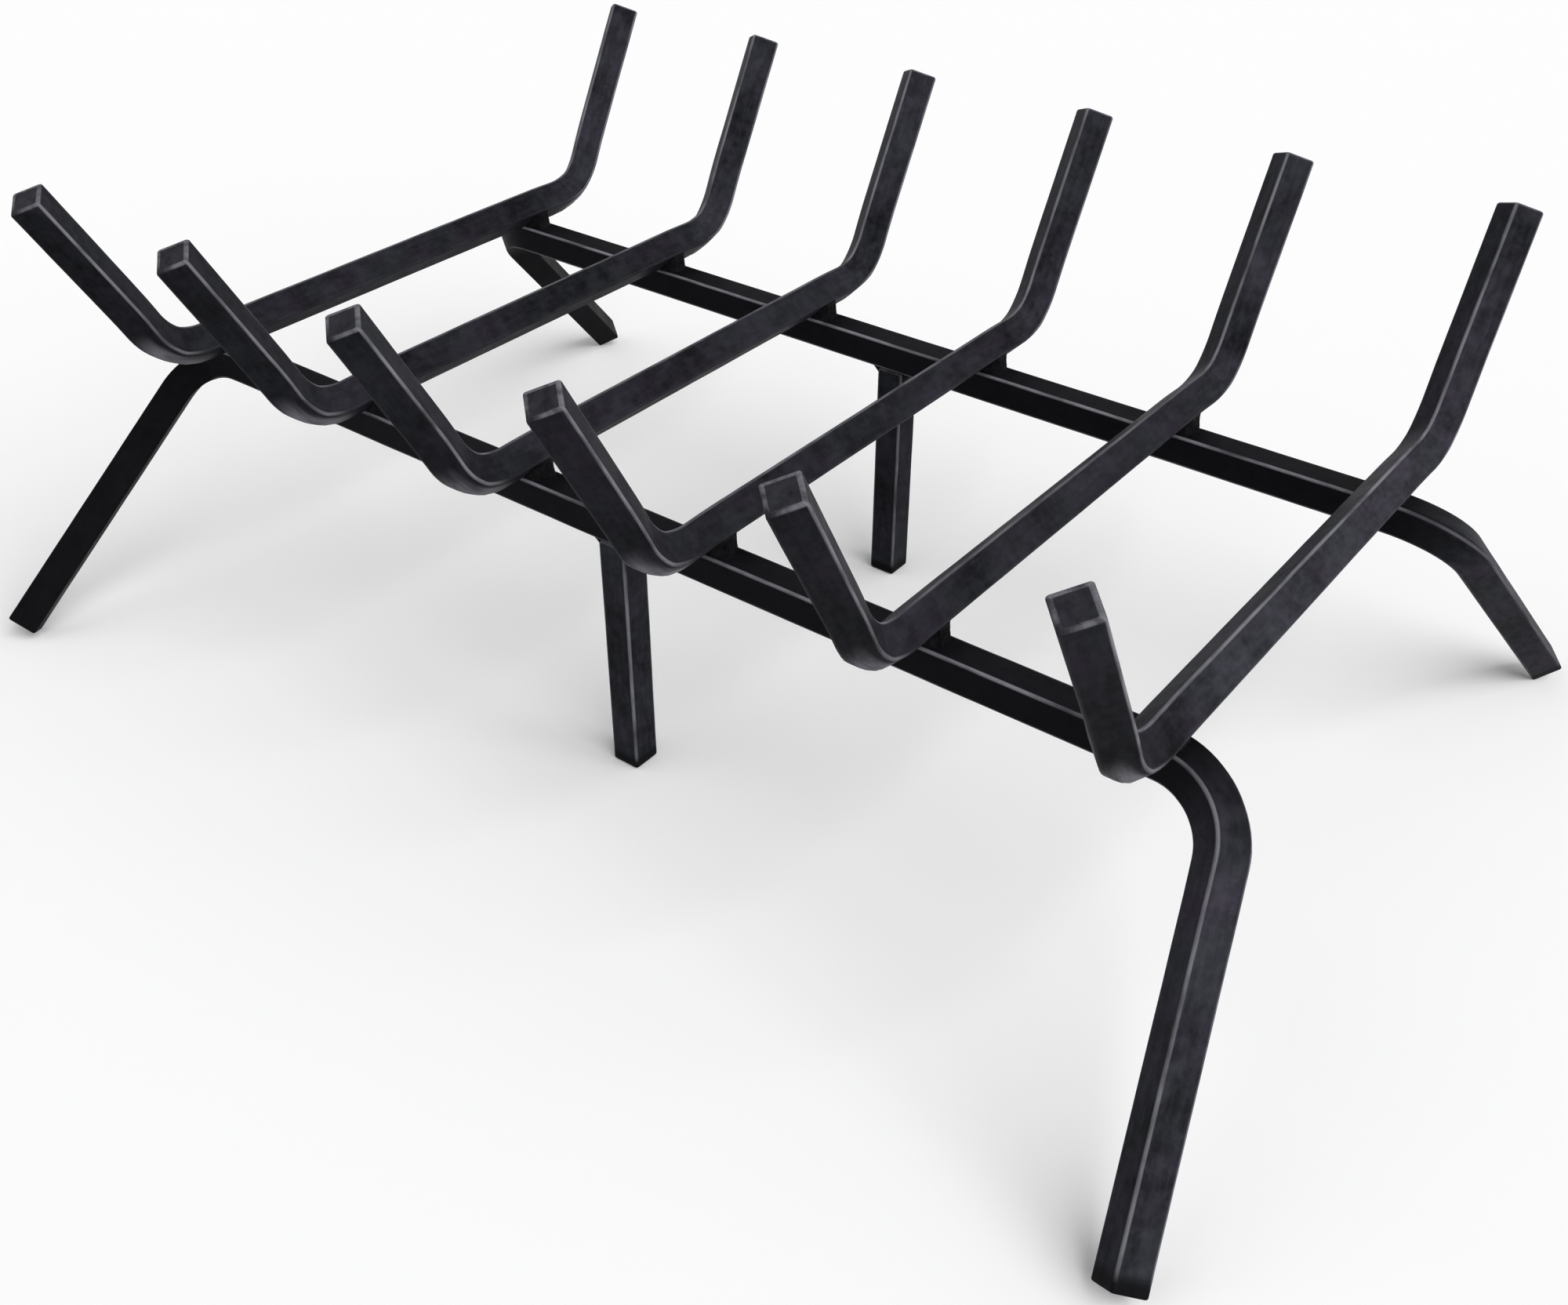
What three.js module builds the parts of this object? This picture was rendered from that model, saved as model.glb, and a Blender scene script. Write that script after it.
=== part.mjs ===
// Fireplace log grate: six U-shaped log bars welded across two rails, whose ends are bent down
// into splayed legs, with a middle leg under each rail. All of it is one size of square steel bar.
// Millimetres, +Z up, the front faces -Y. The origin is on the hearth under the grate's centre.

import * as THREE from 'three';

// Bar stock
const barSize = 12.7; // square bar, across its flats
const edgeRadius = 1; // rolled rounding of its long edges
const endChamfer = 0.8; // dressing round each sawn end
const seatGap = 0.3; // clearance kept between pieces that touch

// Log bars: they stand on edge across the rails, so each section is a diamond
const logBarCount = 6;
const logBarPitch = 89.5; // from one log bar to the next
const prongOverhang = 31.75; // from a rail's centre line out to the corner of the prong
const prongLength = 92; // from that corner to the tip
const prongAngle = 61; // degrees that a prong rises from the flat
const prongBendRadius = 30; // on the centre line

// Rails: flat side up, each bent down at both ends on its diagonal
const railSpacing = 183; // between the two centre lines
const railHeight = 118; // from the hearth to the rail's top
const legBendRadius = 29; // on the centre line, starting at the outermost log bar
const legBendAngle = 79; // degrees
const legSplay = 44; // degrees that the bend's plane leans out from straight down

// Weld beads
const barBeadReach = 7; // out along the rail's top, from under the log bar
const legBeadReach = 5; // down the middle leg, and out along the rail's underside
const barBeadHollow = 0.1; // how far the bead's face dips towards its root, as a share
const legBeadHollow = 0.35;
const rippleDepth = 0.05; // as a share of the bead's reach
const rippleCount = 4;
const beadEndShares = [0.55, 0.88]; // the bead's size at its end and one step in

// Facets
const edgeSteps = 3; // round each long edge
const prongBendSteps = 8;
const legBendSteps = 12;
const beadFaceSteps = 4;

const paint = { color: 0x232428, roughness: 0.5, metalness: 0.1 };
const weldPaint = { color: 0x17181a, roughness: 0.65, metalness: 0.1 };

const degree = Math.PI / 180;
const quarterTurn = Math.PI / 2;
const xAxis = new THREE.Vector3(1, 0, 0);
const yAxis = new THREE.Vector3(0, 1, 0);
const zAxis = new THREE.Vector3(0, 0, 1);

const grate = new THREE.Group();

function addPiece(name, geometry, finish) {
  const mesh = new THREE.Mesh(geometry, new THREE.MeshStandardMaterial(finish));
  mesh.name = name;
  grate.add(mesh);
}

// ---------------------------------------------------------------------------------------------
// Lofts: a solid skinned over a row of rings, which run anticlockwise about the way of travel

function loft(rings) {
  const count = rings[0].length;
  const lastRing = (rings.length - 1) * count;
  const corners = [];
  for (let ring = 0; ring < lastRing; ring += count) {
    for (let here = 0; here < count; here += 1) {
      const next = (here + 1) % count;
      corners.push(ring + here, ring + next, ring + count + next);
      corners.push(ring + here, ring + count + next, ring + count + here);
    }
  }
  for (let here = 1; here < count - 1; here += 1) {
    corners.push(0, here + 1, here);
    corners.push(lastRing, lastRing + here, lastRing + here + 1);
  }
  const geometry = new THREE.BufferGeometry().setFromPoints(rings.flat());
  geometry.setIndex(corners);
  geometry.computeVertexNormals();
  return geometry;
}

// ---------------------------------------------------------------------------------------------
// Bent bars

// The bar's section: a square with rounded corners, turned about its centre.
function barSection(turn, inset) {
  const toArcCentre = barSize / 2 - edgeRadius - inset;
  const centre = new THREE.Vector2();
  const points = [];
  for (let corner = 0; corner < 4; corner += 1) {
    const arcCentre = new THREE.Vector2(toArcCentre, toArcCentre).rotateAround(centre, corner * quarterTurn);
    for (let step = 0; step <= edgeSteps; step += 1) {
      const angle = (corner + step / edgeSteps) * quarterTurn;
      const rim = new THREE.Vector2(Math.cos(angle), Math.sin(angle)).multiplyScalar(edgeRadius);
      points.push(rim.add(arcCentre).rotateAround(centre, turn));
    }
  }
  return points;
}

// Walks a centre line through straights and bends in one plane. A station is set at each end of
// a straight and evenly round a bend: its centre, the way along the bar, and the way that it bends.
function walk(start, along, inward, moves) {
  const stations = [{ centre: start, along, inward }];
  for (const { straight = 0, bend = 0, radius = 0, steps = 1 } of moves) {
    const from = stations.at(-1);
    const bendCentre = from.centre.clone().addScaledVector(from.inward, radius);
    const bendAxis = from.along.clone().cross(from.inward);
    for (let step = 1; step <= steps; step += 1) {
      const angle = (bend * step) / steps;
      const stationInward = from.inward.clone().applyAxisAngle(bendAxis, angle);
      const stationAlong = from.along.clone().applyAxisAngle(bendAxis, angle);
      const centre = bendCentre.clone().addScaledVector(stationInward, -radius);
      centre.addScaledVector(stationAlong, straight);
      stations.push({ centre, along: stationAlong, inward: stationInward });
    }
  }
  return stations;
}

// A bent bar is the same on both sides of its middle, so half of it is walked and then mirrored.
function bentBarStations(middle, along, inward, moves) {
  const half = walk(middle, along, inward, moves).slice(1);
  const mirrored = half.map((station) => ({
    centre: station.centre.clone().sub(middle).reflect(along).add(middle),
    along: station.along.clone().reflect(along).negate(),
    inward: station.inward.clone().reflect(along),
  }));
  return [...mirrored.reverse(), ...half];
}

function barRings(stations, turn) {
  const fullSection = barSection(turn, 0);
  const endSection = barSection(turn, endChamfer);
  return stations.map((station, index) => {
    const isEnd = index === 0 || index === stations.length - 1;
    const side = station.along.clone().cross(station.inward);
    return (isEnd ? endSection : fullSection).map((point) =>
      station.centre.clone().addScaledVector(station.inward, point.x).addScaledVector(side, point.y),
    );
  });
}

// A sawn end: the last stretch of a bar, over which its edges are dressed back.
function endMoves(length) {
  return [{ straight: length - endChamfer }, { straight: endChamfer }];
}

// ---------------------------------------------------------------------------------------------
// Log bars

const diamondTurn = 45 * degree;
const edgeLoss = edgeRadius * (Math.SQRT2 - 1); // what the rounding takes off a diamond's corner
const diamondReach = barSize * Math.SQRT1_2 - edgeLoss;
const logBarHeight = railHeight + seatGap + diamondReach;
const flatHalf = railSpacing / 2 + prongOverhang;
const prongTangent = prongBendRadius * Math.tan((prongAngle * degree) / 2);

function logBarX(index) {
  return (index - (logBarCount - 1) / 2) * logBarPitch;
}

for (let index = 0; index < logBarCount; index += 1) {
  const middle = new THREE.Vector3(logBarX(index), 0, logBarHeight);
  const stations = bentBarStations(middle, yAxis, zAxis, [
    { straight: flatHalf - prongTangent },
    { bend: prongAngle * degree, radius: prongBendRadius, steps: prongBendSteps },
    ...endMoves(prongLength - prongTangent),
  ]);
  addPiece(`log_bar_${index + 1}`, loft(barRings(stations, diamondTurn)), paint);
}

// ---------------------------------------------------------------------------------------------
// Rails and their outer legs

const outermostLogBar = logBarX(logBarCount - 1);
const railEnds = [
  { end: 'front', outward: -1 },
  { end: 'rear', outward: 1 },
];

function railRings(outward, legLength) {
  const splay = outward * legSplay * degree;
  const middle = new THREE.Vector3(0, (outward * railSpacing) / 2, railHeight - barSize / 2);
  const inward = zAxis.clone().negate().applyAxisAngle(xAxis, splay);
  const stations = bentBarStations(middle, xAxis, inward, [
    { straight: outermostLogBar },
    { bend: legBendAngle * degree, radius: legBendRadius, steps: legBendSteps },
    ...endMoves(legLength),
  ]);
  return barRings(stations, -splay);
}

// A leg is cut square, and long enough for its lowest corner to stand on the hearth. Each
// millimetre of leg lowers that corner by the same amount, so one trial leg gives the length.
const trialLeg = barSize;
const trialFoot = Math.min(...railRings(1, trialLeg).flat().map((point) => point.z));
const fallPerMillimetre = Math.sin(legBendAngle * degree) * Math.cos(legSplay * degree);
const legLength = trialLeg + trialFoot / fallPerMillimetre;

for (const { end, outward } of railEnds) {
  addPiece(`${end}_rail`, loft(railRings(outward, legLength)), paint);
}

// ---------------------------------------------------------------------------------------------
// Middle legs, standing flat on the hearth under each rail

const railUnderside = railHeight - barSize;

for (const { end, outward } of railEnds) {
  const foot = new THREE.Vector3(0, (outward * railSpacing) / 2, 0);
  const stations = walk(foot, zAxis, xAxis, [
    { straight: endChamfer },
    ...endMoves(railUnderside - seatGap - endChamfer),
  ]);
  addPiece(`${end}_middle_leg`, loft(barRings(stations, 0)), paint);
}

// ---------------------------------------------------------------------------------------------
// Weld beads

// A bead lies in the corner between two faces, given by the ways out along them and its reach on
// each. It is rippled along its run, smaller at its ends, and as long as the flat of the bar.
function bead(corner, faceA, reachA, faceB, reachB, hollow) {
  const run = faceA.clone().cross(faceB).normalize();
  const halfAngle = faceA.angleTo(faceB) / 2;
  const middleWay = faceA.clone().add(faceB).normalize();
  const root = corner.clone().addScaledVector(middleWay, seatGap / Math.sin(halfAngle));
  const toeA = faceA.clone().multiplyScalar(reachA);
  const toeB = faceB.clone().multiplyScalar(reachB);
  const dip = toeA.clone().add(toeB).multiplyScalar((1 - hollow) / 2);
  const face = new THREE.QuadraticBezierCurve3(toeA, dip, toeB).getPoints(beadFaceSteps);

  const ripples = Array.from({ length: 2 * rippleCount - 1 }, (_, index) => 1 - (index % 2) * rippleDepth);
  const shares = [...beadEndShares, ...ripples, ...beadEndShares.toReversed()];
  const length = barSize - 2 * edgeRadius;
  const rings = shares.map((share, index) => {
    const place = (index / (shares.length - 1) - 1 / 2) * length;
    const ringRoot = root.clone().addScaledVector(run, place);
    return [ringRoot, ...face.map((point) => ringRoot.clone().addScaledVector(point, share))];
  });
  return loft(rings);
}

const sides = [
  { side: 'left', way: -1 },
  { side: 'right', way: 1 },
];

for (const { end, outward } of railEnds) {
  const railY = (outward * railSpacing) / 2;
  for (const { side, way } of sides) {
    const alongRail = new THREE.Vector3(way, 0, 0);

    // In the V between the rail's top and a log bar's lower face
    const upBar = new THREE.Vector3(way, 0, 1).normalize();
    for (let index = 0; index < logBarCount; index += 1) {
      const cornerX = logBarX(index) + way * (edgeLoss - seatGap);
      const corner = new THREE.Vector3(cornerX, railY, railHeight);
      const upReach = barBeadReach * Math.SQRT2;
      const geometry = bead(corner, alongRail, barBeadReach, upBar, upReach, barBeadHollow);
      addPiece(`${end}_weld_${index + 1}_${side}`, geometry, weldPaint);
    }

    // In the corner between the rail's underside and the middle leg
    const downLeg = zAxis.clone().negate();
    const corner = new THREE.Vector3((way * barSize) / 2, railY, railUnderside);
    const geometry = bead(corner, alongRail, legBeadReach, downLeg, legBeadReach, legBeadHollow);
    addPiece(`${end}_leg_weld_${side}`, geometry, weldPaint);
  }
}

export default grate;
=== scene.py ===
import math

import bpy
from mathutils import Matrix, Vector


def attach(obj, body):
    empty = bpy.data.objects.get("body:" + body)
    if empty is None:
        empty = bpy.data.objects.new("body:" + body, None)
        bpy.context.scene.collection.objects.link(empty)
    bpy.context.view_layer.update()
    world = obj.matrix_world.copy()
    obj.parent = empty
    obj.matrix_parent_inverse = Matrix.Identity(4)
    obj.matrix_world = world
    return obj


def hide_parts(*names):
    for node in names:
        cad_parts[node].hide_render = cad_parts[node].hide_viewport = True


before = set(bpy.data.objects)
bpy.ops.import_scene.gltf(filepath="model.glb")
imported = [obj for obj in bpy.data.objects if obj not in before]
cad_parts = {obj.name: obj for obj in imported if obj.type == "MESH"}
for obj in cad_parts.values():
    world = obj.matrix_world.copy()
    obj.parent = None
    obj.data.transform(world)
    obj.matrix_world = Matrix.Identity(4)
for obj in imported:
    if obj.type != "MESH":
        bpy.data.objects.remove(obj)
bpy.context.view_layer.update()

# ---------------------------------------------------------------------------------------------
# Paint. The grate is sprayed with satin black high-temperature paint. It is a little mottled,
# follows the rolled grain of the steel, and is pale grey along its edges and at the outside of
# each bend, where the press bore on it: partly paint rubbed thin, partly a painted highlight
# where those edges and flats catch the light. In places it is darker, as painted shade.

MM = 0.001
BAR_SIZE = 12.7 * MM
EDGE_RADIUS = 1.0 * MM

PAINT_DARK = (0.0028, 0.0028, 0.0036, 1)
PAINT_SLATE = (0.0415, 0.0445, 0.0540, 1)
PAINT_VIOLET = (0.0490, 0.0440, 0.0600, 1)
PAINT_WORN_AND_HIGHLIGHT = (0.2450, 0.2410, 0.2700, 1)

# Widths of the paint's random patches, and how far they are drawn out along the bar
DRIFT_PATCH = 80 * MM
TINT_PATCH = 24 * MM
CLOUD_PATCH = 16 * MM
MOTTLE_PATCH = 4.5 * MM
GRAIN_PATCH = 1.8 * MM
SPECKLE_PATCH = 0.9 * MM
RUB_AND_HIGHLIGHT_PATCH = 6 * MM
GRAIN_SQUEEZE = (1, 1, 0.2)

# What the paleness falls to in the painted shade, and the share of grey that each kind of wear and
# painted highlight lays on
SHADED_PALENESS = 0.12
RIM_WEAR_AND_HIGHLIGHT = 0.7
PRESSED_WEAR_AND_HIGHLIGHT = 0.95
SAWN_WEAR = 0.06
LEAST_RUB_AND_HIGHLIGHT = 0.25

RIM_WIDTH = 1.0 * MM
RIM_DEPTH = 0.9 * MM
SAWN_DEPTH = 0.1 * MM
PAINT_RELIEF = 0.1 * MM
PAINT_SHINE = 0.03


def live(sockets, name):
    """The socket in use: some nodes keep spare ones under the same name."""
    if isinstance(name, int):
        return sockets[name]
    return next(socket for socket in sockets if socket.name == name and socket.enabled)


def add_node(tree, kind, inputs=(), **settings):
    """A node with its settings made, and its input sockets linked or filled in."""
    node = tree.nodes.new(kind)
    for name, setting in settings.items():
        setattr(node, name, setting)
    for name, value in dict(inputs).items():
        socket = live(node.inputs, name)
        if isinstance(value, bpy.types.NodeSocket):
            tree.links.new(value, socket)
        else:
            socket.default_value = value
    return node


def calc(tree, operation, *values):
    """A sum on numbers, as the socket that holds its answer."""
    return add_node(tree, "ShaderNodeMath", enumerate(values), operation=operation).outputs[0]


def vector_calc(tree, operation, *vectors, answer="Vector", **scale):
    """A sum on vectors, as the socket that holds its answer."""
    inputs = {**dict(enumerate(vectors)), **scale}
    return add_node(tree, "ShaderNodeVectorMath", inputs, operation=operation).outputs[answer]


def split(tree, vector):
    """A vector's three parts, as sockets named X, Y and Z."""
    return add_node(tree, "ShaderNodeSeparateXYZ", {"Vector": vector}).outputs


def noise(tree, place, size, detail=2.0, roughness=0.5):
    """Soft random patches about as wide as size, from 0 to 1 and mostly near a half."""
    inputs = {"Vector": place, "Scale": 1 / size, "Detail": detail, "Roughness": roughness}
    return add_node(tree, "ShaderNodeTexNoise", inputs).outputs[0]


def spread(tree, value, low, high, to_low=0.0, to_high=1.0):
    """Stretches the part of a value between low and high smoothly over a new range."""
    inputs = {"Value": value, "From Min": low, "From Max": high, "To Min": to_low, "To Max": to_high}
    return add_node(tree, "ShaderNodeMapRange", inputs, interpolation_type="SMOOTHSTEP").outputs[0]


def blend_colour(tree, share, first, second):
    inputs = {"Factor": share, "A": first, "B": second}
    return live(add_node(tree, "ShaderNodeMix", inputs, data_type="RGBA").outputs, "Result")


def new_material(name):
    """A material, its empty tree, and the tree's shader."""
    material = bpy.data.materials.new(name)
    material.use_nodes = True
    tree = material.node_tree
    tree.nodes.clear()
    shader = add_node(tree, "ShaderNodeBsdfPrincipled")
    add_node(tree, "ShaderNodeOutputMaterial", {"Surface": shader.outputs["BSDF"]})
    return material, tree, shader


def add_relief(tree, shader, height, strength, depth):
    relief = {"Height": height, "Strength": strength, "Distance": depth}
    normal = add_node(tree, "ShaderNodeBump", relief).outputs["Normal"]
    tree.links.new(normal, shader.inputs["Normal"])


def make_bar_paint():
    material, tree, shader = new_material("satin_black_paint")

    def kept(name, output):
        return add_node(tree, "ShaderNodeAttribute", attribute_name=name).outputs[output]

    # Where each point lay on the bar while it was straight: across it, through it and along it
    place = kept("place_on_bar", "Vector")
    lengthwise = vector_calc(tree, "MULTIPLY", place, GRAIN_SQUEEZE)

    # The coat is thin in patches of several sizes, which add up, and pale where it is thin
    drifts = noise(tree, place, DRIFT_PATCH, detail=1)
    clouds = noise(tree, place, CLOUD_PATCH, detail=3)
    mottles = noise(tree, place, MOTTLE_PATCH, detail=3, roughness=0.6)
    grain = noise(tree, lengthwise, GRAIN_PATCH, detail=3)
    speckle = noise(tree, place, SPECKLE_PATCH)
    thin = 0.0
    for patches, contrast, share in [
        (drifts, 0.16, 0.3),
        (clouds, 0.16, 0.25),
        (mottles, 0.16, 0.25),
        (grain, 0.2, 0.2),
    ]:
        patches = spread(tree, patches, 0.5 - contrast, 0.5 + contrast)
        thin = calc(tree, "MULTIPLY_ADD", patches, share, thin)
    # Painted shade: the mottled paleness sinks where the bar is marked as shaded
    shade_dimming = spread(tree, kept("thick_coat", "Fac"), 0, 1, 1, SHADED_PALENESS)
    thin = calc(tree, "MULTIPLY", thin, shade_dimming)
    tint = spread(tree, noise(tree, place, TINT_PATCH), 0.4, 0.6)
    pale = blend_colour(tree, tint, PAINT_SLATE, PAINT_VIOLET)
    colour = blend_colour(tree, thin, PAINT_DARK, pale)

    # A long edge is where both ways out across the bar are near its faces, and a sawn edge is
    # where one of them is, at the bar's end
    across = split(tree, vector_calc(tree, "ABSOLUTE", place))
    lesser = calc(tree, "MINIMUM", across["X"], across["Y"])
    greater = calc(tree, "MAXIMUM", across["X"], across["Y"])
    face = BAR_SIZE / 2
    edge = spread(tree, lesser, face - 1.25 * EDGE_RADIUS, face - 0.55 * EDGE_RADIUS)
    end_depth = kept("end_depth", "Fac")
    outline = spread(tree, greater, face - RIM_WIDTH, face - RIM_WIDTH / 2)
    rim = spread(tree, end_depth, RIM_DEPTH / 3, RIM_DEPTH, RIM_WEAR_AND_HIGHLIGHT, 0.0)
    rim = calc(tree, "MULTIPLY", outline, rim)
    # Edges, sawn rims and the flattened outsides of bends are made pale grey below: partly worn
    # paint, partly a painted highlight where they catch the light
    edge = calc(tree, "MULTIPLY", calc(tree, "MAXIMUM", edge, rim), kept("rubbed", "Fac"))
    pressed = spread(tree, kept("pressed", "Fac"), 0.15, 0.7, 0.0, PRESSED_WEAR_AND_HIGHLIGHT)
    sawn = spread(tree, end_depth, 0.0, SAWN_DEPTH, SAWN_WEAR, 0.0)
    bare_and_highlight = calc(tree, "MAXIMUM", edge, calc(tree, "MAXIMUM", pressed, sawn))
    rub_and_highlight_patches = noise(tree, lengthwise, RUB_AND_HIGHLIGHT_PATCH, detail=4, roughness=0.6)
    worn_and_highlight = calc(tree, "MULTIPLY", bare_and_highlight, spread(tree, rub_and_highlight_patches, 0.32, 0.62, LEAST_RUB_AND_HIGHLIGHT, 1.0))
    tree.links.new(blend_colour(tree, worn_and_highlight, colour, PAINT_WORN_AND_HIGHLIGHT), shader.inputs["Base Color"])

    # It is duller where speckled and cloudy, and a little polished where it is made pale with wear
    # and painted highlight
    roughness = spread(tree, clouds, 0.3, 0.7, 0.40, 0.52)
    roughness = calc(tree, "MULTIPLY_ADD", speckle, 0.16, roughness)
    roughness = calc(tree, "MULTIPLY_ADD", worn_and_highlight, -0.08, roughness)
    tree.links.new(roughness, shader.inputs["Roughness"])
    shader.inputs["Specular IOR Level"].default_value = PAINT_SHINE

    height = calc(tree, "MULTIPLY_ADD", grain, 0.6, calc(tree, "MULTIPLY", speckle, 0.4))
    add_relief(tree, shader, height, 0.4, PAINT_RELIEF)
    return material


bar_paint = make_bar_paint()

# ---------------------------------------------------------------------------------------------
# Bent bars. Each is hot-rolled half-inch square bar, sawn square at its ends and bent cold on a
# corner. The press flattens that corner along the bend, and no face of rolled bar is quite true.

SWELLING = 0.7 * MM
UNEVENNESS = 0.07 * MM
WAVE_LENGTH = 17 * MM
CORNER_REACH = BAR_SIZE * math.sqrt(0.5) - EDGE_RADIUS * (math.sqrt(2) - 1)

EDGE_STEPS = 6
FLAT_CUTS = 8
BEND_STEPS = 48
END_STEPS = 5
STATION_SPACING = 2.2 * MM
BEND_PROBE = 16 * MM

# Over what length along the bar a darker end, the painted shade and the wear and painted highlight on
# its flat part fade out
DARK_END_FADE = 5 * MM
SHADE_FADE = 45 * MM
WEAR_AND_HIGHLIGHT_FADE = 15 * MM


def new_tree(name, **inputs):
    """A geometry tree with named inputs, and their sockets."""
    tree = bpy.data.node_groups.new(name, "GeometryNodeTree")
    tree.is_modifier = True
    for label, kind in inputs.items():
        tree.interface.new_socket(name=label, in_out="INPUT", socket_type=f"NodeSocket{kind}")
    tree.interface.new_socket(name="piece", in_out="OUTPUT", socket_type="NodeSocketGeometry")
    return tree, tree.nodes.new("NodeGroupInput").outputs


def end_tree(tree, geometry, paint):
    real = add_node(tree, "GeometryNodeRealizeInstances", {"Geometry": geometry})
    painted = {"Geometry": real.outputs[0], "Material": paint}
    painted = add_node(tree, "GeometryNodeSetMaterial", painted)
    add_node(tree, "NodeGroupOutput", {"piece": painted.outputs[0]})


def capture(tree, geometry, **fields):
    """Keeps fields on a geometry's points. Gives the geometry, and each field's socket."""
    node = add_node(tree, "GeometryNodeCaptureAttribute", {"Geometry": geometry})
    for name, socket in fields.items():
        kind = "VECTOR" if socket.type == "VECTOR" else "FLOAT"
        node.capture_items.new(kind, name)
        tree.links.new(socket, node.inputs[name])
    return [node.outputs[0], *(node.outputs[name] for name in fields)]


def store(tree, geometry, name, socket):
    kind = "FLOAT_VECTOR" if socket.type == "VECTOR" else "FLOAT"
    inputs = {"Geometry": geometry, "Name": name, "Value": socket}
    return add_node(tree, "GeometryNodeStoreNamedAttribute", inputs, data_type=kind).outputs[0]


def make_bent_bar_tree():
    tree, given = new_tree(
        "bent_square_bar",
        corners="Geometry",
        bar_size="Float",
        edge_radius="Float",
        end_radius="Float",
        bend_radius="Float",
        bend_plane="Vector",
        section_turn="Float",
        sharpening="Float",
        pressed_depth="Float",
        swelling="Float",
        unevenness="Float",
        press_marks="Float",
        thick_coat="Float",
        coat_middle="Float",
        coat_reach="Float",
        flat_reach="Float",
        flat_wear="Float",
        bend_wear="Float",
        lower_wear="Float",
        first_dip="Float",
        last_dip="Float",
        seed="Float",
        paint="Material",
    )
    index = add_node(tree, "GeometryNodeInputIndex").outputs[0]
    position = add_node(tree, "GeometryNodeInputPosition").outputs[0]

    # The centre line, with its corners rounded to the bend radius
    line = add_node(tree, "GeometryNodeMeshToCurve", {"Mesh": given["corners"]}).outputs[0]
    rounded = {"Curve": line, "Radius": given["bend_radius"], "Count": BEND_STEPS}
    path = add_node(tree, "GeometryNodeFilletCurve", rounded, mode="POLY").outputs[0]
    length = add_node(tree, "GeometryNodeCurveLength", {"Curve": path}).outputs[0]

    # Stations evenly along it, drawn together at both ends to round the sawn edges
    count = calc(tree, "FLOOR", calc(tree, "DIVIDE", length, STATION_SPACING))
    last = calc(tree, "ADD", count, 2 * END_STEPS)
    row = add_node(tree, "GeometryNodeCurvePrimitiveLine").outputs[0]
    row = {"Curve": row, "Count": calc(tree, "ADD", last, 1)}
    row = add_node(tree, "GeometryNodeResampleCurve", row).outputs[0]
    to_end = calc(tree, "MINIMUM", index, calc(tree, "SUBTRACT", last, index))
    turn = calc(tree, "MINIMUM", calc(tree, "DIVIDE", to_end, END_STEPS), 1)
    turn = calc(tree, "MULTIPLY", turn, math.pi / 2)
    true_length = calc(tree, "MULTIPLY_ADD", given["end_radius"], -2, length)
    spacing = calc(tree, "DIVIDE", true_length, count)
    steps_in = calc(tree, "MAXIMUM", calc(tree, "SUBTRACT", to_end, END_STEPS), 0)
    depth = calc(tree, "SUBTRACT", 1, calc(tree, "COSINE", turn))
    depth = calc(tree, "MULTIPLY", depth, given["end_radius"])
    depth = calc(tree, "MULTIPLY_ADD", steps_in, spacing, depth)
    is_far_half = calc(tree, "GREATER_THAN", index, calc(tree, "DIVIDE", last, 2))
    across_middle = calc(tree, "MULTIPLY_ADD", depth, -2, length)
    travel = calc(tree, "MULTIPLY_ADD", is_far_half, across_middle, depth)
    inset = calc(tree, "SUBTRACT", 1, calc(tree, "SINE", turn))
    inset = calc(tree, "MULTIPLY", inset, given["end_radius"])
    shrink = calc(tree, "DIVIDE", inset, calc(tree, "DIVIDE", given["bar_size"], 2))
    size = calc(tree, "SUBTRACT", 1, shrink)

    def path_at(distance):
        inputs = {"Curves": path, "Length": distance}
        return add_node(tree, "GeometryNodeSampleCurve", inputs, mode="LENGTH").outputs

    # How the bar bends there: a vector towards the inside of the bend, about 1 long at its middle
    ahead = path_at(calc(tree, "ADD", travel, BEND_PROBE))["Tangent"]
    behind = path_at(calc(tree, "SUBTRACT", travel, BEND_PROBE))["Tangent"]
    bending = vector_calc(tree, "SUBTRACT", ahead, behind)

    stations = {"Geometry": row, "Position": path_at(travel)["Position"]}
    stations = add_node(tree, "GeometryNodeSetPosition", stations).outputs[0]
    stations = {"Curve": stations, "Normal": given["bend_plane"]}
    stations = add_node(tree, "GeometryNodeSetCurveNormal", stations, mode="FREE").outputs[0]
    stations, centre, bending, travel, depth, size = capture(
        tree, stations, centre=position, bending=bending, travel=travel, depth=depth, size=size
    )

    # The section: a square with rounded corners, and extra points across its flats
    square = {"Width": given["bar_size"], "Height": given["bar_size"]}
    square = add_node(tree, "GeometryNodeCurvePrimitiveQuadrilateral", square).outputs[0]
    rounded = {"Curve": square, "Radius": given["edge_radius"], "Count": EDGE_STEPS}
    section = add_node(tree, "GeometryNodeFilletCurve", rounded, mode="POLY").outputs[0]
    in_corner = calc(tree, "MODULO", index, EDGE_STEPS + 1)
    is_before_flat = calc(tree, "COMPARE", in_corner, EDGE_STEPS, 0.5)
    cuts = {"Curve": section, "Cuts": calc(tree, "MULTIPLY", is_before_flat, FLAT_CUTS)}
    section = add_node(tree, "GeometryNodeSubdivideCurve", cuts).outputs[0]
    section, on_section = capture(tree, section, on_section=position)
    turn = add_node(tree, "ShaderNodeCombineXYZ", {"Z": given["section_turn"]}).outputs[0]
    turned = {"Geometry": section, "Rotation": turn}
    section = add_node(tree, "GeometryNodeTransform", turned).outputs[0]

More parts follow.
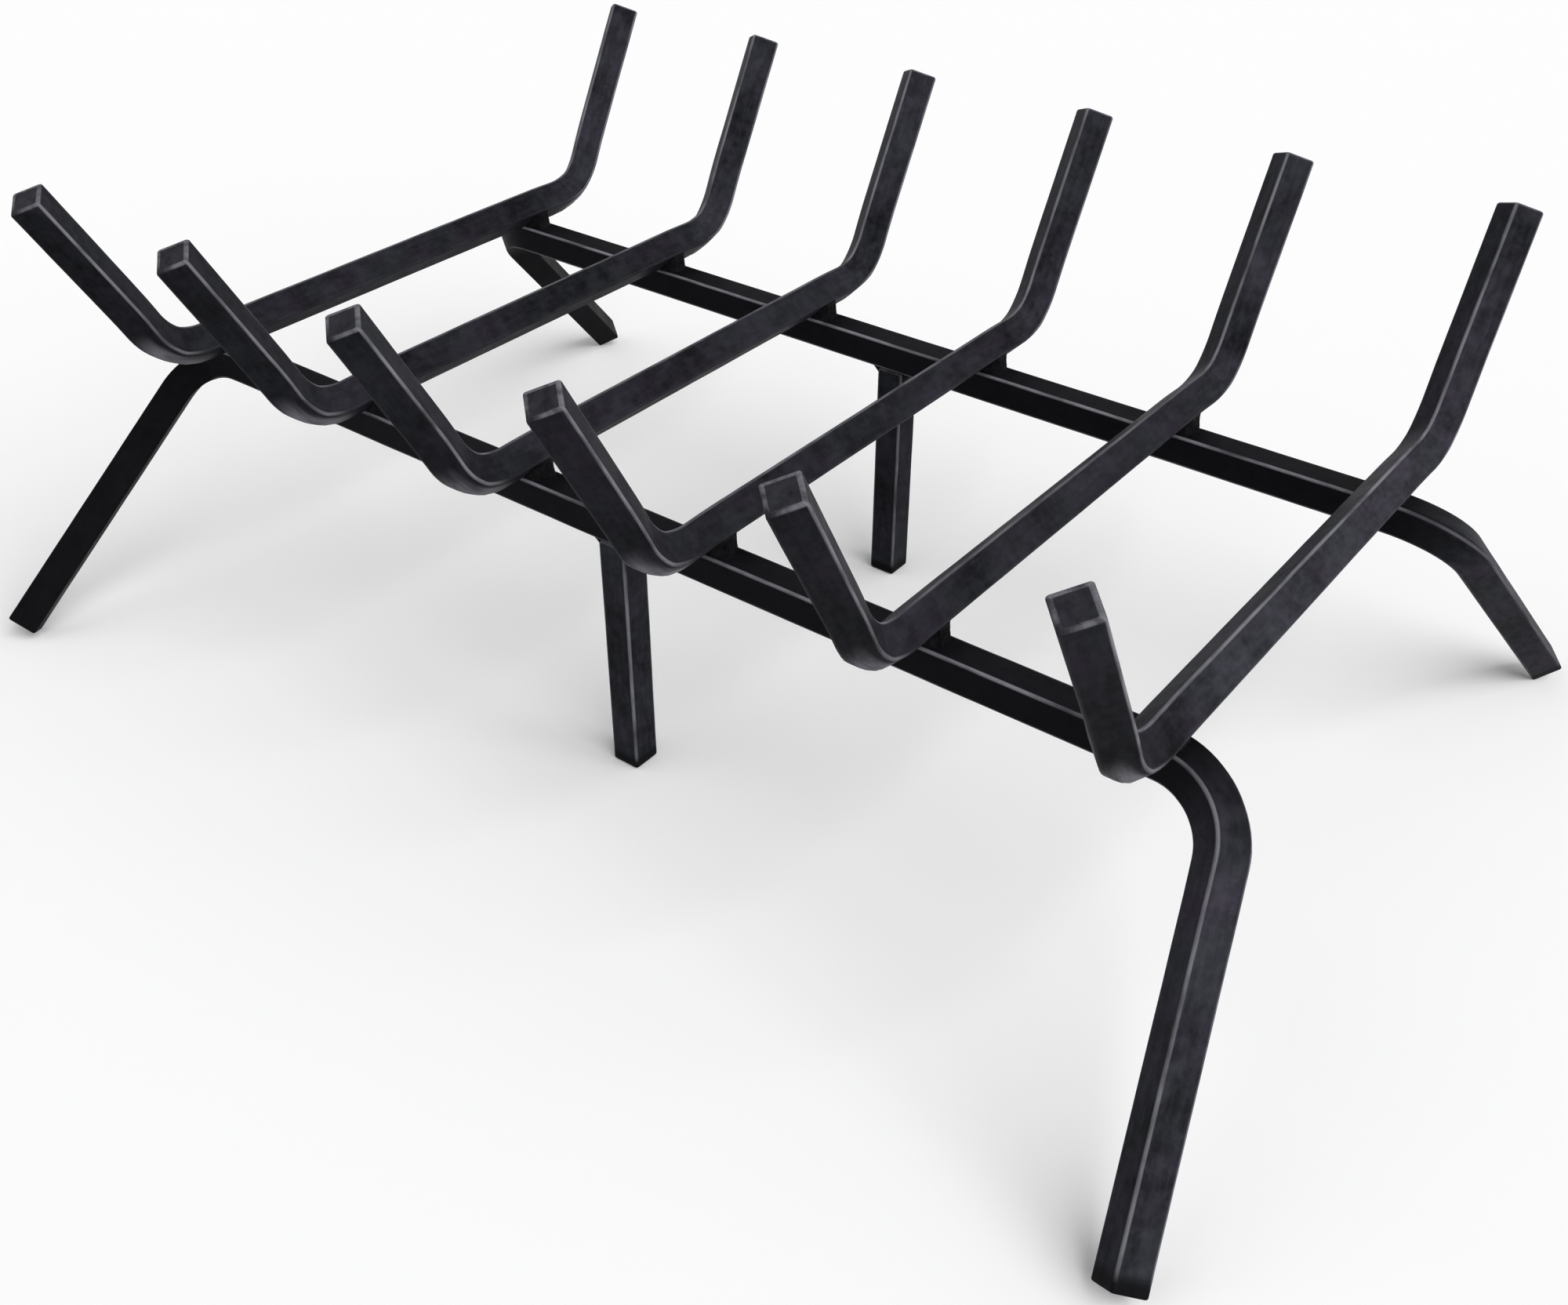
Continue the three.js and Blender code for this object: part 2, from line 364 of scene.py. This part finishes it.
    sweep = {"Curve": stations, "Profile Curve": section, "Scale": size, "Fill Caps": True}
    bar = add_node(tree, "GeometryNodeCurveToMesh", sweep).outputs[0]

    def within(middle, reach, fade):
        """1 up to a distance from a place along the bar, fading to 0 past it."""
        away = calc(tree, "ABSOLUTE", calc(tree, "SUBTRACT", travel, middle))
        return spread(tree, calc(tree, "SUBTRACT", away, reach), 0.0, fade, 1.0, 0.0)

    # Painted shade: the paint is darker along part of the bar, and at its darkened ends
    middle = calc(tree, "DIVIDE", length, 2)
    first_dip = within(0, given["first_dip"], DARK_END_FADE)
    dark_ends = calc(tree, "MAXIMUM", first_dip, within(length, given["last_dip"], DARK_END_FADE))
    coat_middle = calc(tree, "ADD", middle, given["coat_middle"])
    shade_amount = within(coat_middle, given["coat_reach"], SHADE_FADE)
    shade_amount = calc(tree, "MAXIMUM", calc(tree, "MULTIPLY", shade_amount, given["thick_coat"]), dark_ends)
    bar = store(tree, bar, "thick_coat", shade_amount)

    # Its edges are pale with wear and a painted highlight: on its flat part most at the crest, which
    # is the corner inside the bends, and elsewhere all but the corner outside them. Crest is 1 at the
    # one and -1 at the other.
    corner = split(tree, on_section)
    crest = calc(tree, "DIVIDE", calc(tree, "ADD", corner["X"], corner["Y"]), given["bar_size"])
    crest = calc(tree, "MULTIPLY", crest, -1)
    flat_wear = spread(tree, crest, 0.2, 0.9, given["lower_wear"], 1.0)
    flat_wear = calc(tree, "MULTIPLY", flat_wear, given["flat_wear"])
    bend_wear = spread(tree, crest, -0.9, -0.5, given["lower_wear"], 1.0)
    bend_wear = calc(tree, "MULTIPLY", bend_wear, given["bend_wear"])
    flat = within(middle, given["flat_reach"], WEAR_AND_HIGHLIGHT_FADE)
    rubbed = calc(tree, "MULTIPLY_ADD", flat, calc(tree, "SUBTRACT", flat_wear, bend_wear), bend_wear)
    rubbed = calc(tree, "MULTIPLY", rubbed, calc(tree, "SUBTRACT", 1, dark_ends))
    bar = store(tree, bar, "rubbed", rubbed)

    # Each bar's paint starts far from the next one's, so no two are mottled alike
    travel = calc(tree, "ADD", travel, given["seed"])
    along = add_node(tree, "ShaderNodeCombineXYZ", {"Z": travel}).outputs[0]
    place = vector_calc(tree, "ADD", on_section, along)
    bar = store(tree, bar, "place_on_bar", place)
    bar = store(tree, bar, "end_depth", depth)

    # The press draws each bend sharper in the middle, flattens the corner outside it, and makes
    # the one inside it swell
    share = calc(tree, "MINIMUM", vector_calc(tree, "LENGTH", bending, answer="Value"), 1)
    share = calc(tree, "MULTIPLY", share, share)
    inward = vector_calc(tree, "NORMALIZE", bending)
    out = vector_calc(tree, "SUBTRACT", centre, position)
    out = vector_calc(tree, "DOT_PRODUCT", out, inward, answer="Value")
    depth = calc(tree, "MULTIPLY", share, given["pressed_depth"])
    outer = calc(tree, "SUBTRACT", out, calc(tree, "SUBTRACT", CORNER_REACH, depth))
    outer = calc(tree, "MAXIMUM", outer, 0)
    # The flattened outside corner of each bend is marked for the paint to make pale: partly rubbed
    # paint, partly a painted highlight of the floor's light
    marks = calc(tree, "MULTIPLY", share, given["press_marks"])
    marks = calc(tree, "MULTIPLY", marks, spread(tree, crest, -0.5, 0.0, 1.0, 0.0))
    bar = store(tree, bar, "pressed", marks)
    swelling = calc(tree, "MAXIMUM", calc(tree, "DIVIDE", out, -CORNER_REACH), 0)
    swelling = calc(tree, "MULTIPLY", calc(tree, "MULTIPLY", swelling, share), given["swelling"])
    sharpening = calc(tree, "MULTIPLY", share, given["sharpening"])
    push = calc(tree, "SUBTRACT", calc(tree, "ADD", outer, swelling), sharpening)
    push = vector_calc(tree, "SCALE", inward, Scale=push)
    bar = add_node(tree, "GeometryNodeSetPosition", {"Geometry": bar, "Offset": push}).outputs[0]

    waves = calc(tree, "SUBTRACT", noise(tree, place, WAVE_LENGTH, detail=1), 0.5)
    waves = calc(tree, "MULTIPLY", waves, calc(tree, "MULTIPLY", given["unevenness"], 2))
    normal = add_node(tree, "GeometryNodeInputNormal").outputs[0]
    waves = {"Geometry": bar, "Offset": vector_calc(tree, "SCALE", normal, Scale=waves)}
    bar = add_node(tree, "GeometryNodeSetPosition", waves).outputs[0]

    # Sawn ends stay flat
    bar = add_node(tree, "GeometryNodeSetShadeSmooth", {"Geometry": bar}).outputs[0]
    sides = add_node(tree, "GeometryNodeInputMeshFaceNeighbors").outputs["Vertex Count"]
    is_end = add_node(tree, "FunctionNodeCompare", {"A": sides, "B": 4.0}).outputs[0]
    flat = {"Geometry": bar, "Selection": is_end, "Shade Smooth": False}
    bar = add_node(tree, "GeometryNodeSetShadeSmooth", flat).outputs[0]
    end_tree(tree, bar, given["paint"])
    return tree


bent_bar_tree = make_bent_bar_tree()


def shape_piece(piece, tree, **values):
    """Runs a tree on a piece, and keeps what it makes as the piece's plain mesh."""
    modifier = piece.modifiers.new(tree.name, "NODES")
    modifier.node_group = tree
    for item in tree.interface.items_tree:
        if item.name in values:
            modifier[item.identifier] = values[item.name]
    graph = bpy.context.evaluated_depsgraph_get()
    made = bpy.data.meshes.new_from_object(
        piece.evaluated_get(graph), preserve_all_data_layers=True, depsgraph=graph
    )
    piece.modifiers.clear()
    piece.data = made
    made.name = piece.name


def add_mesh_object(name, points, edges=(), faces=()):
    mesh = bpy.data.meshes.new(name)
    mesh.from_pydata(points, edges, faces)
    made = bpy.data.objects.new(name, mesh)
    bpy.context.scene.collection.objects.link(made)
    return made


BAR_PAINT_SEED_STEP = 3.0
NO_DARK_END = -10 * MM
PLAIN_FINISH = {
    "sharpening": 0.0,
    "pressed_depth": 0.7 * MM,
    "press_marks": 0.1,
    "thick_coat": 0.0,
    "coat_middle": 0.0,
    "coat_reach": 0.0,
    "flat_reach": 0.0,
    "flat_wear": 1.0,
    "bend_wear": 1.0,
    "lower_wear": 1.0,
    "first_dip": NO_DARK_END,
    "last_dip": NO_DARK_END,
}


def make_bar(node, corners, bend_radius, bend_plane, section_turn, seed, end_radius, **finish):
    """One length of bar, bent at each corner of its centre line, in place of its CAD node."""
    edges = [(i, i + 1) for i in range(len(corners) - 1)]
    bar = add_mesh_object(f"painted_{node}", corners, edges)
    shape_piece(
        bar,
        bent_bar_tree,
        bar_size=BAR_SIZE,
        edge_radius=EDGE_RADIUS,
        end_radius=end_radius,
        bend_radius=bend_radius,
        bend_plane=bend_plane,
        section_turn=section_turn,
        swelling=SWELLING,
        unevenness=UNEVENNESS,
        **{**PLAIN_FINISH, **finish},
        seed=seed * BAR_PAINT_SEED_STEP,
        paint=bar_paint,
    )
    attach(bar, "root")
    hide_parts(node)
    return bar


# ---------------------------------------------------------------------------------------------
# Rails. A front and a rear bar lie flat side up on the middle legs, and both ends of each are
# bent on the diagonal, down and outwards, into the splayed outer legs.

RAIL_SPACING = 183 * MM
RAIL_TOP = 118 * MM
RAIL_STRAIGHT = 447.5 * MM
LEG_BEND_RADIUS = 29 * MM
LEG_BEND_ANGLE = math.radians(79)
LEG_SPLAY = math.radians(44)
LEG_LENGTH = 126.27 * MM
RAIL_END_RADIUS = 0.8 * MM
RAIL_FLAT_WEAR_AND_HIGHLIGHT = 0.95
# How far the darker ends reach: on a rail the whole leg on its left, as painted shade, and at a foot
# its last few millimetres, darker where it meets the floor
SHADED_LEG = 150 * MM
DARK_FOOT = 3 * MM

# Each rail's node, the way that it faces, and the wear and painted highlight on its bends and legs
rails = [("front_rail", -1, 0.72), ("rear_rail", 1, 0.3)]
for seed, (node, outward, bend_wear) in enumerate(rails):
    middle = Vector((0, outward * RAIL_SPACING / 2, RAIL_TOP - BAR_SIZE / 2))
    down = Matrix.Rotation(outward * LEG_SPLAY, 3, "X") @ Vector((0, 0, -1))
    tangent = LEG_BEND_RADIUS * math.tan(LEG_BEND_ANGLE / 2)
    corner = middle + Vector((RAIL_STRAIGHT / 2 + tangent, 0, 0))
    leg_way = Vector((math.cos(LEG_BEND_ANGLE), 0, 0)) + down * math.sin(LEG_BEND_ANGLE)
    right = [corner, corner + leg_way * (tangent + LEG_LENGTH)]
    left = [Vector((-point.x, point.y, point.z)) for point in reversed(right)]
    make_bar(
        node,
        left + right,
        bend_radius=LEG_BEND_RADIUS,
        bend_plane=Vector((1, 0, 0)).cross(down),
        section_turn=-outward * LEG_SPLAY,
        seed=seed,
        end_radius=RAIL_END_RADIUS,
        thick_coat=1.0,
        coat_reach=RAIL_STRAIGHT / 2,
        flat_reach=RAIL_STRAIGHT / 2,
        flat_wear=RAIL_FLAT_WEAR_AND_HIGHLIGHT,
        bend_wear=bend_wear,
        first_dip=SHADED_LEG,
        last_dip=DARK_FOOT,
    )

# ---------------------------------------------------------------------------------------------
# Middle legs. A straight upright bar stands under the middle of each rail, sawn square at both
# ends and welded to the rail's underside.

SEAT_GAP = 0.3 * MM
MIDDLE_LEG_END_RADIUS = 1.5 * MM

# Each leg's node, the way that it faces, and how much painted shade it has
middle_legs = [("front_middle_leg", -1, 0.0), ("rear_middle_leg", 1, 0.4)]
for seed, (node, outward, shade_amount) in enumerate(middle_legs, len(rails)):
    foot = Vector((0, outward * RAIL_SPACING / 2, 0))
    top = foot + Vector((0, 0, RAIL_TOP - BAR_SIZE - SEAT_GAP))
    make_bar(
        node,
        [foot, top],
        bend_radius=LEG_BEND_RADIUS,
        bend_plane=Vector((1, 0, 0)),
        section_turn=0.0,
        seed=seed,
        end_radius=MIDDLE_LEG_END_RADIUS,
        thick_coat=shade_amount,
        coat_reach=top.z,
        first_dip=DARK_FOOT,
        bend_wear=1 - shade_amount,
    )

# ---------------------------------------------------------------------------------------------
# Log bars. Six bars lie across the rails on edge, so that their section is a diamond. Both ends
# of each are bent up on that diagonal into the prongs that hold the logs.

LOG_BAR_COUNT = 6
LOG_BAR_PITCH = 89.5 * MM
PRONG_OVERHANG = 31.75 * MM
PRONG_LENGTH = 92 * MM
PRONG_ANGLE = math.radians(61)
PRONG_BEND_RADIUS = 30 * MM
LOG_BAR_HEIGHT = RAIL_TOP + SEAT_GAP + CORNER_REACH
LOG_BAR_TURN = math.radians(45)
PRONG_END_RADIUS = 1.1 * MM
PRONG_SHARPENING = 2.0 * MM
PRONG_PRESSED_DEPTH = 2.7 * MM
# How much painted shade the log bars carry
LOG_BAR_SHADE = 0.5
# How far the pale edges reach along the flat part, and the wear and painted highlight on the prongs
# and on the lower edges
LOG_BAR_WEAR_REACH = 110 * MM
PRONG_WEAR_AND_HIGHLIGHT = 0.84
LOWER_EDGE_WEAR_AND_HIGHLIGHT = 0.1

# Where the painted shade's middle is from the bar's own, how far it reaches, and the crest's wear and
# painted highlight
USUAL_SHADE = (-60 * MM, 150 * MM, 0.45)
LAST_BAR_SHADE = (-170 * MM, 60 * MM, 0.75)

log_bar_places = [(i - (LOG_BAR_COUNT - 1) / 2) * LOG_BAR_PITCH for i in range(LOG_BAR_COUNT)]

for index, x in enumerate(log_bar_places):
    bend = Vector((x, RAIL_SPACING / 2 + PRONG_OVERHANG, LOG_BAR_HEIGHT))
    prong = Vector((0, math.cos(PRONG_ANGLE), math.sin(PRONG_ANGLE))) * PRONG_LENGTH
    rear = [bend, bend + prong]
    front = [Vector((point.x, -point.y, point.z)) for point in reversed(rear)]
    is_last = index == LOG_BAR_COUNT - 1
    coat_middle, coat_reach, crest_wear_and_highlight = LAST_BAR_SHADE if is_last else USUAL_SHADE
    make_bar(
        f"log_bar_{index + 1}",
        front + rear,
        bend_radius=PRONG_BEND_RADIUS,
        bend_plane=Vector((1, 0, 0)),
        section_turn=LOG_BAR_TURN,
        seed=len(rails) + len(middle_legs) + index,
        end_radius=PRONG_END_RADIUS,
        sharpening=PRONG_SHARPENING,
        pressed_depth=PRONG_PRESSED_DEPTH,
        press_marks=1.0,
        thick_coat=LOG_BAR_SHADE,
        coat_middle=coat_middle,
        coat_reach=coat_reach,
        flat_reach=LOG_BAR_WEAR_REACH,
        flat_wear=crest_wear_and_highlight,
        bend_wear=PRONG_WEAR_AND_HIGHLIGHT,
        lower_wear=LOWER_EDGE_WEAR_AND_HIGHLIGHT,
    )

# ---------------------------------------------------------------------------------------------
# Weld beads. Short fillets are run by hand in the V on both sides of each log bar where it
# crosses a rail, and in the corner on both sides of each middle leg. They are rippled across
# their run and a little uneven. Their paint is far darker than the bars': painted shade for the
# corners where they sit.

# Painted shade: the beads are near black, for the shade in the corners between the bars
WELD_SHADED_DARK = (0.0024, 0.0024, 0.0030, 1)
WELD_SHADED_PALE = (0.0090, 0.0090, 0.0105, 1)
WELD_SHINE = 0.05
WELD_PATCH = 2.6 * MM
WELD_PIT = 0.7 * MM
WELD_RELIEF = 0.15 * MM
BEAD_RUN = BAR_SIZE - 2 * EDGE_RADIUS
BEAD_RINGS = 61
BEAD_FACE_STEPS = 14
BEAD_TAPER = 3.0 * MM
BEAD_END_SHARE = 0.45
RIPPLE_PITCH = 1.25 * MM
RIPPLE_DEPTH = 0.055
RIPPLE_BOW = 0.9 * MM
BAR_BEAD_REACH = 9 * MM
BAR_BEAD_RISE = 8 * MM
BAR_BEAD_SINK = 0.6 * MM
BAR_BEAD_BULGE = -0.03
LEG_BEAD_REACH = 5 * MM
LEG_BEAD_BULGE = -0.08
BEAD_ROOT = 0.2 * MM
FULL_BEAD = (1.0, 1.0, 1.0)
SMALL_BEAD = (0.6, 1.0, 0.6)
BEAD_UNEVENNESS = 0.22 * MM
BEAD_WAVE_LENGTH = 3.5 * MM


def make_weld_paint():
    material, tree, shader = new_material("painted_weld")
    place = add_node(tree, "ShaderNodeTexCoord").outputs["Object"]
    patches = noise(tree, place, WELD_PATCH, detail=4, roughness=0.65)
    pits = noise(tree, place, WELD_PIT, detail=2)
    colour = blend_colour(tree, spread(tree, patches, 0.38, 0.72), WELD_SHADED_DARK, WELD_SHADED_PALE)
    tree.links.new(colour, shader.inputs["Base Color"])
    tree.links.new(spread(tree, pits, 0.3, 0.7, 0.42, 0.66), shader.inputs["Roughness"])
    shader.inputs["Specular IOR Level"].default_value = WELD_SHINE
    height = calc(tree, "MULTIPLY_ADD", pits, 0.4, calc(tree, "MULTIPLY", patches, 0.6))
    add_relief(tree, shader, height, 0.6, WELD_RELIEF)
    return material


weld_paint = make_weld_paint()


def make_bead(name, toe_a, toe_b, bulge):
    """One bead along Y, in the corner at the origin between the ways out to its two toes."""
    rings = []
    crest = (toe_a + toe_b) * (0.5 + bulge)
    for ring in range(BEAD_RINGS):
        run = (ring / (BEAD_RINGS - 1) - 0.5) * BEAD_RUN
        into_taper = max(0.0, abs(run) - BEAD_RUN / 2 + BEAD_TAPER) / BEAD_TAPER
        taper = BEAD_END_SHARE + (1 - BEAD_END_SHARE) * math.sqrt(1 - into_taper**2)
        points = [Vector((0, run, 0))]
        for step in range(BEAD_FACE_STEPS + 1):
            share = step / BEAD_FACE_STEPS
            face = toe_a * (1 - share) ** 2 + crest * 2 * share * (1 - share) + toe_b * share**2
            crown = 4 * share * (1 - share)
            phase = (run - RIPPLE_BOW * crown) / RIPPLE_PITCH
            ripple = 1 - RIPPLE_DEPTH * (phase % 1.0) ** 2 * crown
            points.append(Vector((0, run, 0)) + face * taper * ripple)
        rings.append(points)
    width = len(rings[0])
    first_end = range(width)
    last_end = range((BEAD_RINGS - 1) * width, BEAD_RINGS * width)
    faces = [tuple(first_end), tuple(reversed(last_end))]
    for ring in range(BEAD_RINGS - 1):
        here = ring * width
        for step in range(width):
            after = (step + 1) % width
            faces.append((here + step, here + width + step, here + width + after, here + after))
    bead = add_mesh_object(name, [point for ring in rings for point in ring], faces=faces)
    bead.data.materials.append(weld_paint)
    return bead


def make_weld_tree():
    tree, given = new_tree(
        "weld_beads",
        starts="Geometry",
        bead="Object",
        unevenness="Float",
        paint="Material",
    )

    def kept(name):
        kind = "GeometryNodeInputNamedAttribute"
        node = add_node(tree, kind, {"Name": name}, data_type="FLOAT_VECTOR")
        return live(node.outputs, "Attribute")

    bead = add_node(tree, "GeometryNodeObjectInfo", {"Object": given["bead"]}).outputs["Geometry"]
    beads = {"Points": given["starts"], "Instance": bead}
    beads.update({"Rotation": kept("bead_turn"), "Scale": kept("bead_size")})
    beads = add_node(tree, "GeometryNodeInstanceOnPoints", beads).outputs[0]
    beads = add_node(tree, "GeometryNodeRealizeInstances", {"Geometry": beads}).outputs[0]

    # Molten metal never sets twice alike
    position = add_node(tree, "GeometryNodeInputPosition").outputs[0]
    inputs = {"Vector": position, "Scale": 1 / BEAD_WAVE_LENGTH, "Detail": 2.0}
    drift = add_node(tree, "ShaderNodeTexNoise", inputs).outputs["Color"]
    drift = vector_calc(tree, "SUBTRACT", drift, (0.5, 0.5, 0.5))
    drift = vector_calc(tree, "SCALE", drift, Scale=calc(tree, "MULTIPLY", given["unevenness"], 2))
    beads = {"Geometry": beads, "Offset": drift}
    beads = add_node(tree, "GeometryNodeSetPosition", beads).outputs[0]
    beads = add_node(tree, "GeometryNodeSetShadeSmooth", {"Geometry": beads}).outputs[0]
    end_tree(tree, beads, given["paint"])
    return tree


weld_tree = make_weld_tree()


def make_welds(name, bead, starts, nodes):
    """A bead at each start, which is a corner and the bead's turn and size there, as one piece."""
    welds = add_mesh_object(name, [corner for corner, _, _ in starts])
    welds.data.materials.append(weld_paint)
    turns = welds.data.attributes.new("bead_turn", "FLOAT_VECTOR", "POINT")
    turns.data.foreach_set("vector", [angle for _, turn, _ in starts for angle in turn])
    sizes = welds.data.attributes.new("bead_size", "FLOAT_VECTOR", "POINT")
    sizes.data.foreach_set("vector", [share for _, _, size in starts for share in size])
    shape_piece(welds, weld_tree, bead=bead, unevenness=BEAD_UNEVENNESS, paint=weld_paint)
    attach(welds, "root")
    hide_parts(*nodes)


toe_on_rail = Vector((BAR_BEAD_REACH, 0, -BAR_BEAD_SINK))
toe_on_bar = Vector((BAR_BEAD_RISE, 0, BAR_BEAD_RISE))
bar_bead = make_bead("bar_bead", toe_on_rail, toe_on_bar, BAR_BEAD_BULGE)
toe_on_rail = Vector((LEG_BEAD_REACH, 0, 0))
toe_on_leg = Vector((0, 0, LEG_BEAD_REACH))
leg_bead = make_bead("leg_bead", toe_on_rail, toe_on_leg, LEG_BEAD_BULGE)

# The outermost beads are small, as the rail starts to bend away under them
outermost_log_bar = log_bar_places[-1]
# Each side's name, the way that its beads face, and their turn about the upright
sides = [("left", -1, math.pi), ("right", 1, 0.0)]
for end, outward in [("front", -1), ("rear", 1)]:
    rail_y = outward * RAIL_SPACING / 2
    starts = [
        (
            Vector((x + way * BEAD_ROOT, rail_y, RAIL_TOP)),
            (0, 0, turn),
            SMALL_BEAD if x * way == outermost_log_bar else FULL_BEAD,
        )
        for x in log_bar_places
        for _, way, turn in sides
    ]
    nodes = [f"{end}_weld_{i + 1}_{side}" for i in range(LOG_BAR_COUNT) for side, _, _ in sides]
    make_welds(f"{end}_rail_welds", bar_bead, starts, nodes)

    starts = [
        (Vector((way * BAR_SIZE / 2, rail_y, RAIL_TOP - BAR_SIZE)), (math.pi, 0, turn), FULL_BEAD)
        for _, way, turn in sides
    ]
    nodes = [f"{end}_leg_weld_{side}" for side, _, _ in sides]
    make_welds(f"{end}_middle_leg_welds", leg_bead, starts, nodes)

for bead in (bar_bead, leg_bead):
    bpy.data.objects.remove(bead)

# ---------------------------------------------------------------------------------------------
# Studio. The grate stands on a plain pale floor, in soft light from a room that is brightest low
# down behind it on the right, with two broad soft lamps above it.

FLOOR_SIZE = 40.0
FLOOR_SEEN = (0.97, 0.97, 0.97, 1)
FLOOR_CAST = (0.40, 0.40, 0.40, 1)
BACKDROP_SEEN = (0.96, 0.96, 0.96, 1)
BRIGHT_WALL = (1.20, 1.20, 1.22, 1)
DIM_ROOM = (0.29, 0.29, 0.29, 1)
BRIGHT_WALL_WAY = Vector((0.85, 0.50, 0.10)).normalized()


def seen_directly(tree):
    """1 for rays that show a surface, straight or in a gloss, and 0 for those that light others."""
    rays = add_node(tree, "ShaderNodeLightPath").outputs
    seen = calc(tree, "MAXIMUM", rays["Is Camera Ray"], rays["Is Glossy Ray"])
    return calc(tree, "MAXIMUM", seen, rays["Is Transmission Ray"])


def make_floor():
    """The floor, which looks whiter than the light that it throws back under the bars."""
    corner = FLOOR_SIZE / 2
    corners = [(-corner, -corner, 0), (corner, -corner, 0), (corner, corner, 0), (-corner, corner, 0)]
    floor = add_mesh_object("floor", corners, faces=[(0, 1, 2, 3)])
    material, tree, shader = new_material("pale_floor")
    colour = blend_colour(tree, seen_directly(tree), FLOOR_CAST, FLOOR_SEEN)
    tree.links.new(colour, shader.inputs["Base Color"])
    shader.inputs["Roughness"].default_value = 0.9
    shader.inputs["Specular IOR Level"].default_value = 0.0
    floor.data.materials.append(material)


def make_world():
    world = bpy.data.worlds.new("soft_room")
    bpy.context.scene.world = world
    world.use_nodes = True
    tree = world.node_tree
    tree.nodes.clear()
    way = add_node(tree, "ShaderNodeTexCoord").outputs["Generated"]
    towards = vector_calc(tree, "DOT_PRODUCT", way, tuple(BRIGHT_WALL_WAY), answer="Value")
    colour = blend_colour(tree, spread(tree, towards, 0.3, 1.0), DIM_ROOM, BRIGHT_WALL)
    colour = blend_colour(tree, seen_directly(tree), colour, BACKDROP_SEEN)
    light = add_node(tree, "ShaderNodeBackground", {"Color": colour})
    add_node(tree, "ShaderNodeOutputWorld", {"Surface": light.outputs[0]})


def add_lamp(name, strength, softness, azimuth, elevation):
    """A distant soft lamp. Its azimuth counts in degrees from the front towards the right."""
    lamp = bpy.data.lights.new(name, "SUN")
    lamp.energy = strength
    lamp.angle = math.radians(softness)
    holder = bpy.data.objects.new(name, lamp)
    bpy.context.scene.collection.objects.link(holder)
    turn, rise = math.radians(azimuth), math.radians(elevation)
    back = Vector((math.sin(turn) * math.cos(rise), -math.cos(turn) * math.cos(rise), math.sin(rise)))
    holder.rotation_mode = "QUATERNION"
    holder.rotation_quaternion = back.to_track_quat("Z", "Y")


make_floor()
make_world()
add_lamp("key_lamp", strength=2.15, softness=55, azimuth=80, elevation=45)
add_lamp("fill_lamp", strength=0.5, softness=60, azimuth=-45, elevation=40)

# ---------------------------------------------------------------------------------------------
# Camera. It stands to the right in front of the grate and looks down on it. Its place, turn and
# lens are those that best fit the photograph.

CAMERA_PLACE = Vector((370.97, -477.61, 434.49)) * MM
CAMERA_YAW = math.radians(37.34)
CAMERA_PITCH = math.radians(35.67)
CAMERA_ROLL = math.radians(0.13)
CAMERA_LENS = 38.287
CAMERA_SENSOR = 36
CAMERA_NEAREST = 10 * MM

camera_data = bpy.data.cameras.new("camera")
camera_data.lens = CAMERA_LENS
camera_data.sensor_width = CAMERA_SENSOR
camera_data.clip_start = CAMERA_NEAREST
camera = bpy.data.objects.new("camera", camera_data)
bpy.context.scene.collection.objects.link(camera)
turn = Matrix.Rotation(CAMERA_YAW, 4, "Z") @ Matrix.Rotation(math.pi / 2 - CAMERA_PITCH, 4, "X")
camera.matrix_world = Matrix.Translation(CAMERA_PLACE) @ turn @ Matrix.Rotation(CAMERA_ROLL, 4, "Z")
bpy.context.scene.camera = camera
bpy.context.scene.view_settings.view_transform = "Standard"
